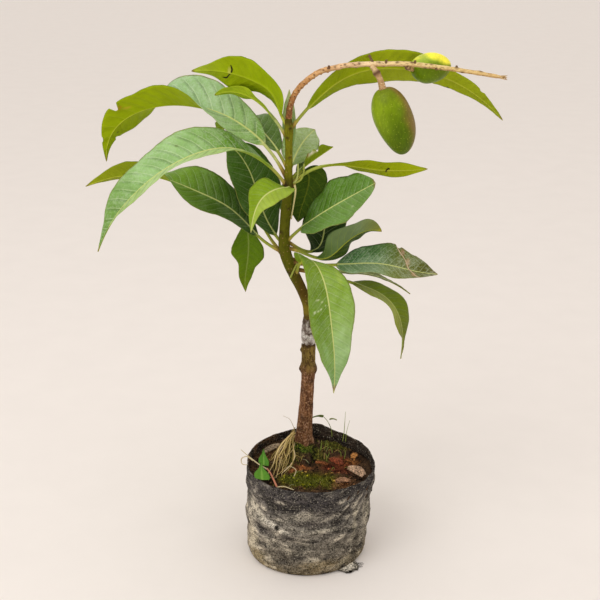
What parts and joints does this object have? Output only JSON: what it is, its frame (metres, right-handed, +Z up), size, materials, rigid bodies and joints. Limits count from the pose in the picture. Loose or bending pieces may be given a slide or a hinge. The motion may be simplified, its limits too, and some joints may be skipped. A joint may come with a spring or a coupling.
{
  "type": "potted mango tree sapling",
  "caption": "grafted mango sapling standing in a soft fabric grow bag, with whorls of long leaves and young fruit hanging from an arching stalk",
  "frame": {"origin": "centre of the grow bag's flat underside", "axes": "+Z up along the trunk, -Y is the front, and +X is the side over which the fruiting stalk reaches"},
  "size_m": [0.41, 0.2025, 0.5055],
  "materials": {
    "bag": "matte",
    "soil": "matte",
    "bark": "matte",
    "wax": "matte",
    "stalk": "matte",
    "fruit": "satin",
    "leaf": "satin"
  },
  "bodies": {
    "root": {"grow_bag": "bag", "soil": "soil", "trunk": "bark", "graft_wrap": "wax", "fruiting_stalk_foot": "stalk", "fruiting_stalk_arm": "stalk", "mango_front": "fruit", "mango_back": "fruit", "leaf_top_left": "leaf", "leaf_top_left_small": "leaf", "leaf_top_right": "leaf", "leaf_top_right_end": "leaf", "leaf_mid_left_broad": "leaf", "leaf_mid_left_broad_end": "leaf", "leaf_mid_left_long": "leaf", "leaf_mid_left_long_end": "leaf", "leaf_mid_front": "leaf", "leaf_mid_right_folded": "leaf", "leaf_mid_right_narrow": "leaf", "leaf_mid_back": "leaf", "leaf_mid_back_erect": "leaf", "leaf_mid_back_hanging": "leaf", "leaf_mid_back_left": "leaf", "leaf_low_left_dark": "leaf", "leaf_low_left_back": "leaf", "leaf_low_left_hanging": "leaf", "leaf_low_right_broad": "leaf", "leaf_low_back": "leaf", "leaf_low_right_dark": "leaf", "leaf_low_right_back": "leaf", "leaf_low_right_long": "leaf", "leaf_low_right_thin": "leaf", "leaf_low_right_hanging": "leaf", "leaf_low_front": "leaf", "leaf_low_front_end": "leaf"}
  },
  "joints": []
}
